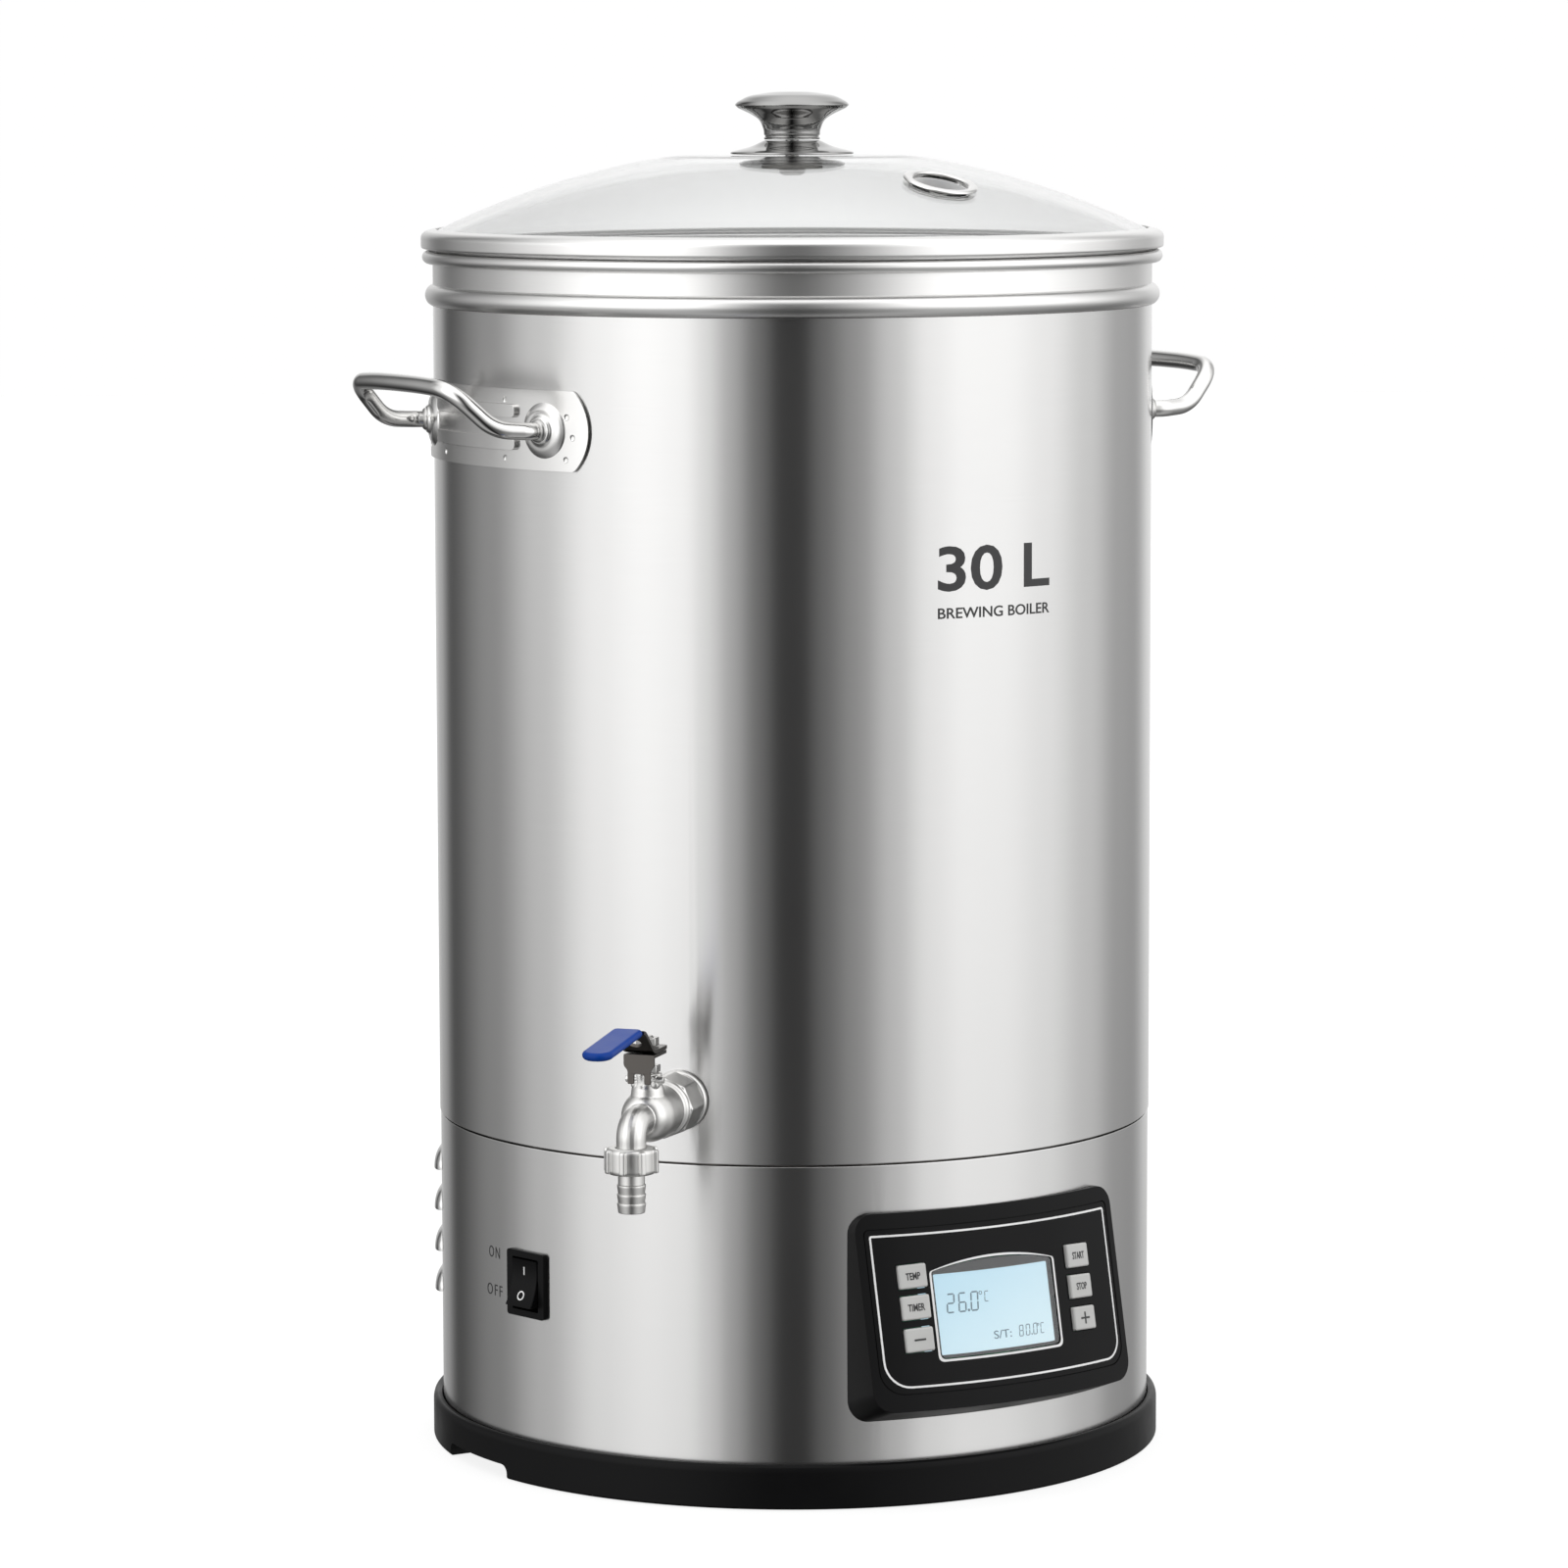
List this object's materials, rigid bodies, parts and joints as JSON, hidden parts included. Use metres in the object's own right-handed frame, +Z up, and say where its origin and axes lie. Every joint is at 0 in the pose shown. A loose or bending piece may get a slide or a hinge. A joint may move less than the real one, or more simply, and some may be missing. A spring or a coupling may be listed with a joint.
{
  "type": "electric all-in-one brewer",
  "caption": "Tall steel brewing pot with a domed glass lid, side handles, a barbed ball-valve tap with a lever, a heated base with a sloping control panel, and a lift-out malt basket.",
  "frame": {"origin": "on the pot's axis, at the level of the surface it stands on", "axes": "+Z up along the pot's axis, -Y towards the control panel"},
  "size_m": [0.4228, 0.354, 0.6232],
  "materials": {
    "brushed_steel": "satin, brushed round the pot",
    "polished_steel": "polished stainless",
    "plain_steel": "plain stainless",
    "cast_steel": "bead-blasted casting",
    "dark_steel": "dark stainless strip",
    "zinc_plate": "zinc-plated sheet",
    "aluminium": "cast and extruded, plain",
    "insulation": "foil-faced felt",
    "black_plastic": "fine satin texture",
    "gloss_black": "glossy",
    "key_plastic": "silver-grey, satin",
    "screen": "pale blue backlit display",
    "clear_window": "clear window",
    "lid_glass": "clear tempered glass",
    "blue_vinyl": "soft dipped vinyl",
    "silicone": "translucent silicone",
    "circuit_board": "green laminate with parts"
  },
  "bodies": {
    "brewer": {"base_ring": "black_plastic", "base_shell": "brushed_steel", "bottom_cover": "zinc_plate", "cover_screw_1": "plain_steel", "cover_screw_2": "plain_steel", "cover_screw_3": "plain_steel", "joining_ring": "zinc_plate", "outer_shell": "brushed_steel", "inner_kettle": "polished_steel", "insulation_wrap": "insulation", "heater_disc": "aluminium", "heating_element": "plain_steel", "thermal_cutout": "black_plastic", "temperature_probe": "plain_steel", "power_board": "circuit_board", "heat_sink": "aluminium", "control_board": "circuit_board", "lcd_module": "screen", "lcd_window": "clear_window", "panel_bezel": "black_plastic", "panel_overlay": "gloss_black", "switch_housing": "black_plastic", "mains_inlet": "black_plastic", "handle_plate_left": "polished_steel", "handle_plate_right": "polished_steel", "handle_rod_left": "polished_steel", "handle_rod_right": "polished_steel", "tap_flange": "plain_steel", "tap_seal": "silicone", "tap_lock_nut": "plain_steel", "tap_body": "cast_steel", "stop_pin": "plain_steel", "packing_nut": "plain_steel", "hose_barb": "cast_steel", "hose_washer": "silicone"},
    "malt_basket": {"basket_body": "polished_steel", "basket_floor": "polished_steel", "basket_loop_front": "plain_steel", "basket_loop_rear": "plain_steel"},
    "lid": {"lid_glass": "lid_glass", "lid_rim": "polished_steel", "vent_grommet": "polished_steel", "knob": "polished_steel", "knob_flange": "polished_steel", "knob_washer": "silicone", "knob_screw": "plain_steel"},
    "tap_lever": {"lever_plate": "dark_steel", "lever_sleeve": "blue_vinyl", "lever_nut": "plain_steel", "stop_plate": "dark_steel", "valve_stem": "plain_steel", "valve_ball": "polished_steel"},
    "union_nut": {"union_nut": "cast_steel"},
    "power_switch": {"switch_rocker": "gloss_black"},
    "button_temp": {"button_temp": "key_plastic"},
    "button_timer": {"button_timer": "key_plastic"},
    "button_minus": {"button_minus": "key_plastic"},
    "button_start": {"button_start": "key_plastic"},
    "button_stop": {"button_stop": "key_plastic"},
    "button_plus": {"button_plus": "key_plastic"}
  },
  "joints": [
    {"name": "basket_lift", "type": "slide", "parent": "brewer", "child": "malt_basket", "axis": [0, 0, 1], "range_m": [0, 0.4]},
    {"name": "lid_lift", "type": "slide", "parent": "malt_basket", "child": "lid", "axis": [0, 0, 1], "range_m": [0, 0.25]},
    {"name": "tap_lever_turn", "type": "hinge", "parent": "brewer", "child": "tap_lever", "pos_m": [-0.16064, -0.13055, 0.182], "axis": [0, 0, 1], "range_deg": [-90, 0]},
    {"name": "union_nut_turn", "type": "hinge", "parent": "brewer", "child": "union_nut", "pos_m": [-0.17772, -0.14442, 0.166], "axis": [0, 0, 1], "continuous": true},
    {"name": "power_rocker", "type": "hinge", "parent": "brewer", "child": "power_switch", "pos_m": [-0.16143, -0.0289, 0.0908], "axis": [0.1762, -0.9843, 0], "range_deg": [0, 21.6]},
    {"name": "button_temp_press", "type": "slide", "parent": "brewer", "child": "button_temp", "axis": [0.2195, 0.9546, -0.2012], "range_m": [0, 0.001], "stiffness_N_per_m": 250, "springref_m": -0.001},
    {"name": "button_timer_press", "type": "slide", "parent": "brewer", "child": "button_timer", "axis": [0.2195, 0.9546, -0.2012], "range_m": [0, 0.001], "stiffness_N_per_m": 250, "springref_m": -0.001},
    {"name": "button_minus_press", "type": "slide", "parent": "brewer", "child": "button_minus", "axis": [0.2195, 0.9546, -0.2012], "range_m": [0, 0.001], "stiffness_N_per_m": 250, "springref_m": -0.001},
    {"name": "button_start_press", "type": "slide", "parent": "brewer", "child": "button_start", "axis": [-0.2019, 0.9584, -0.202], "range_m": [0, 0.001], "stiffness_N_per_m": 250, "springref_m": -0.001},
    {"name": "button_stop_press", "type": "slide", "parent": "brewer", "child": "button_stop", "axis": [-0.2019, 0.9584, -0.202], "range_m": [0, 0.001], "stiffness_N_per_m": 250, "springref_m": -0.001},
    {"name": "button_plus_press", "type": "slide", "parent": "brewer", "child": "button_plus", "axis": [-0.2019, 0.9584, -0.202], "range_m": [0, 0.001], "stiffness_N_per_m": 250, "springref_m": -0.001}
  ]
}
